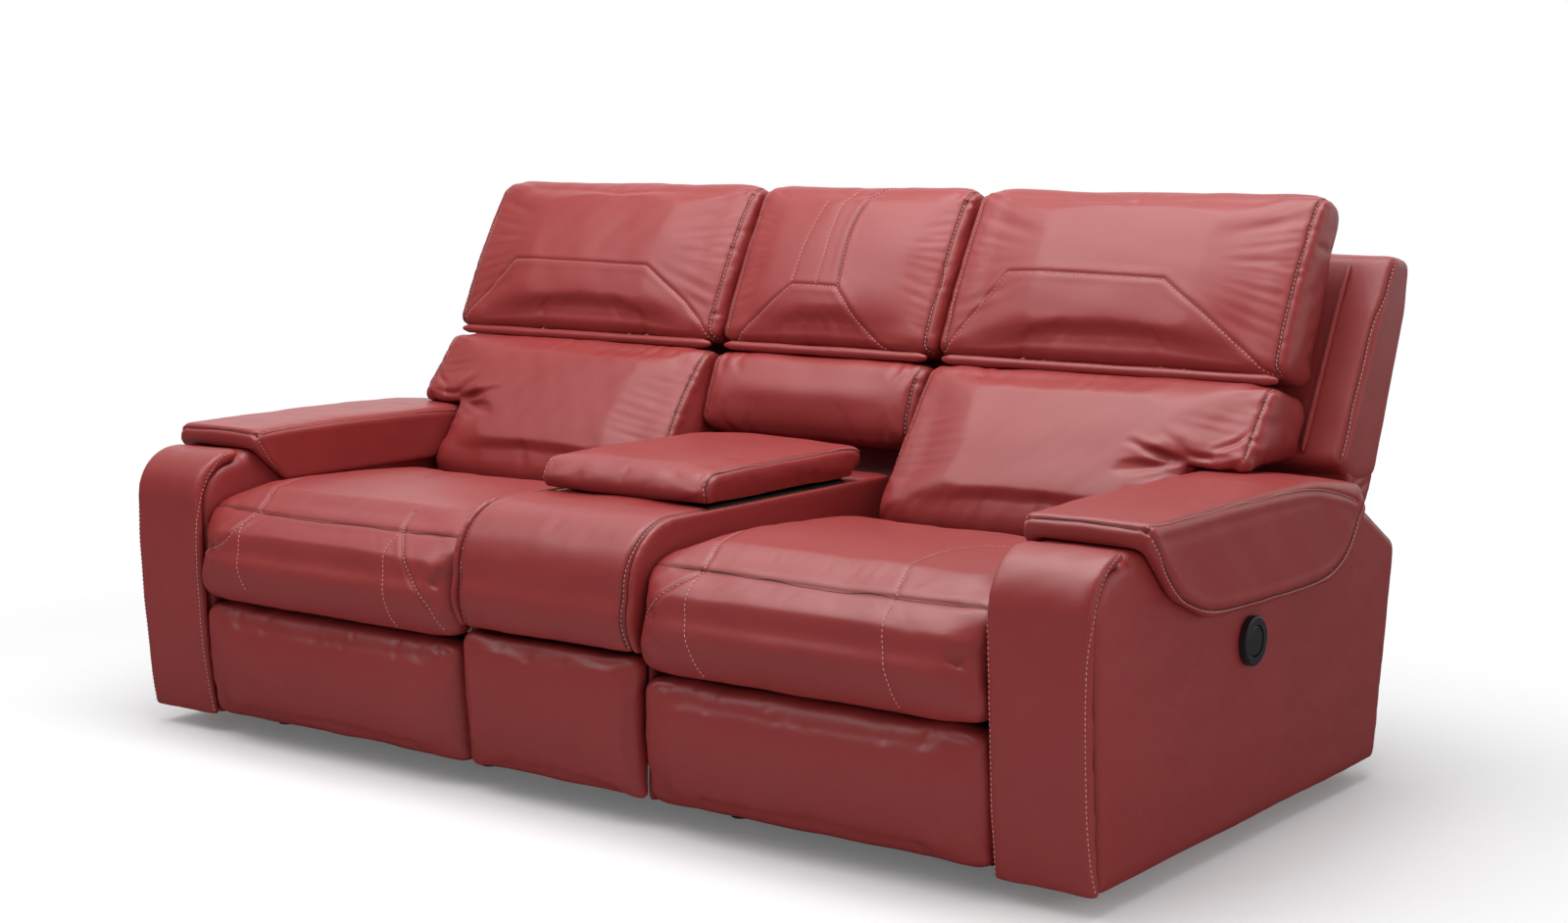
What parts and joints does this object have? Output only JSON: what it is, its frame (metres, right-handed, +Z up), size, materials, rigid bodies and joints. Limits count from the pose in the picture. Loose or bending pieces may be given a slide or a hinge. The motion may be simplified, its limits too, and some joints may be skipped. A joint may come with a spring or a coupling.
{
  "type": "reclining console sofa",
  "caption": "Two-seat reclining sofa in padded leather with a storage console between the seats, lift-up padded lid, folding footrests, tilting headrests and rocker controls on the arms.",
  "frame": {"origin": "on the floor under the middle of the sofa's outer box", "axes": "+X to the right of a person facing the sofa, -Y the side people sit down from, +Z up"},
  "size_m": [2.068, 1.1203, 1.0016],
  "materials": {
    "red_leather": "satin",
    "timber": "raw",
    "black_steel": "semi-gloss",
    "bright_steel": "satin",
    "black_plastic": "matte"
  },
  "bodies": {
    "sofa": {"base_rails": "black_steel", "feet": "black_plastic", "rear_panel": "red_leather", "console_side_panels": "red_leather", "console_top_roll": "red_leather", "console_rear_block": "red_leather", "console_front_pad": "red_leather", "storage_box": "timber", "bin_liner": "black_plastic", "lid_hinge": "bright_steel", "centre_back_shell": "red_leather", "centre_back_frame": "timber", "centre_lumbar_cushion": "red_leather", "centre_headrest_cushion": "red_leather", "arm_cover_right": "red_leather", "arm_frame_right": "timber", "arm_front_pad_right": "red_leather", "arm_pad_right": "red_leather", "control_bezel_right": "black_plastic", "seat_cushion_right": "red_leather", "seat_frame_right": "timber", "seat_springs_right": "bright_steel", "mechanism_plates_right": "black_steel", "actuator_right": "black_steel", "arm_cover_left": "red_leather", "arm_frame_left": "timber", "arm_front_pad_left": "red_leather", "arm_pad_left": "red_leather", "control_bezel_left": "black_plastic", "seat_cushion_left": "red_leather", "seat_frame_left": "timber", "seat_springs_left": "bright_steel", "mechanism_plates_left": "black_steel", "actuator_left": "black_steel"},
    "console_lid": {"lid_board": "timber", "lid_pad": "red_leather"},
    "back_right": {"back_shell_right": "red_leather", "back_frame_right": "black_steel", "lumbar_cushion_right": "red_leather", "headrest_straps_right": "bright_steel"},
    "headrest_right": {"headrest_board_right": "timber", "headrest_cushion_right": "red_leather"},
    "rear_link_right": {"rear_links_right": "black_steel"},
    "front_link_right": {"front_links_right": "black_steel"},
    "footrest_right": {"footrest_board_right": "timber", "footrest_pad_right": "red_leather"},
    "carriage_right": {"actuator_carriage_right": "black_plastic"},
    "button_right": {"control_button_right": "black_plastic"},
    "back_left": {"back_shell_left": "red_leather", "back_frame_left": "black_steel", "lumbar_cushion_left": "red_leather", "headrest_straps_left": "bright_steel"},
    "headrest_left": {"headrest_board_left": "timber", "headrest_cushion_left": "red_leather"},
    "rear_link_left": {"rear_links_left": "black_steel"},
    "front_link_left": {"front_links_left": "black_steel"},
    "footrest_left": {"footrest_board_left": "timber", "footrest_pad_left": "red_leather"},
    "carriage_left": {"actuator_carriage_left": "black_plastic"},
    "button_left": {"control_button_left": "black_plastic"}
  },
  "joints": [
    {"name": "recline_right", "type": "hinge", "parent": "sofa", "child": "back_right", "pos_m": [0.516, 0.267, 0.325], "axis": [-1, 0, 0], "range_deg": [0, 28]},
    {"name": "headrest_right_tilt", "type": "hinge", "parent": "back_right", "child": "headrest_right", "pos_m": [0.516, 0.238, 0.699], "axis": [1, 0, 0], "range_deg": [0, 30]},
    {"name": "footrest_right_lift", "type": "hinge", "parent": "sofa", "child": "rear_link_right", "pos_m": [0.516, -0.378, 0.235], "axis": [-1, 0, 0], "range_deg": [0, 95]},
    {"name": "footrest_right_front_link", "type": "hinge", "parent": "rear_link_right", "child": "front_link_right", "pos_m": [0.516, -0.34587, 0.05281], "axis": [1, 0, 0], "range_deg": [0, 135]},
    {"name": "footrest_right_board", "type": "hinge", "parent": "front_link_right", "child": "footrest_right", "pos_m": [0.516, -0.43838, 0.21302], "axis": [-1, 0, 0], "range_deg": [0, 125]},
    {"name": "carriage_right_travel", "type": "slide", "parent": "sofa", "child": "carriage_right", "axis": [0, -1, 0], "range_m": [0, 0.0885]},
    {"name": "button_right_rock", "type": "hinge", "parent": "sofa", "child": "button_right", "pos_m": [1.0105, -0.038, 0.325], "axis": [0, 1, 0], "range_deg": [-5, 5], "stiffness_Nm_per_rad": 0.2},
    {"name": "recline_left", "type": "hinge", "parent": "sofa", "child": "back_left", "pos_m": [-0.516, 0.267, 0.325], "axis": [-1, 0, 0], "range_deg": [0, 28]},
    {"name": "headrest_left_tilt", "type": "hinge", "parent": "back_left", "child": "headrest_left", "pos_m": [-0.516, 0.238, 0.699], "axis": [1, 0, 0], "range_deg": [0, 30]},
    {"name": "footrest_left_lift", "type": "hinge", "parent": "sofa", "child": "rear_link_left", "pos_m": [-0.516, -0.378, 0.235], "axis": [-1, 0, 0], "range_deg": [0, 95]},
    {"name": "footrest_left_front_link", "type": "hinge", "parent": "rear_link_left", "child": "front_link_left", "pos_m": [-0.516, -0.34587, 0.05281], "axis": [1, 0, 0], "range_deg": [0, 135]},
    {"name": "footrest_left_board", "type": "hinge", "parent": "front_link_left", "child": "footrest_left", "pos_m": [-0.516, -0.43838, 0.21302], "axis": [-1, 0, 0], "range_deg": [0, 125]},
    {"name": "carriage_left_travel", "type": "slide", "parent": "sofa", "child": "carriage_left", "axis": [0, -1, 0], "range_m": [0, 0.0885]},
    {"name": "button_left_rock", "type": "hinge", "parent": "sofa", "child": "button_left", "pos_m": [-1.0105, -0.038, 0.325], "axis": [0, 1, 0], "range_deg": [-5, 5], "stiffness_Nm_per_rad": 0.2},
    {"name": "console_lid_lift", "type": "hinge", "parent": "sofa", "child": "console_lid", "pos_m": [0, 0.098, 0.5], "axis": [-1, 0, 0], "range_deg": [0, 75]}
  ],
  "couplings": [
    {"joint": "footrest_right_front_link", "follows": "footrest_right_lift", "ratio": 1.4211},
    {"joint": "footrest_right_board", "follows": "footrest_right_lift", "ratio": 1.3158},
    {"joint": "carriage_right_travel", "follows": "footrest_right_lift", "m_per_rad": 0.053359},
    {"joint": "footrest_left_front_link", "follows": "footrest_left_lift", "ratio": 1.4211},
    {"joint": "footrest_left_board", "follows": "footrest_left_lift", "ratio": 1.3158},
    {"joint": "carriage_left_travel", "follows": "footrest_left_lift", "m_per_rad": 0.053359}
  ]
}
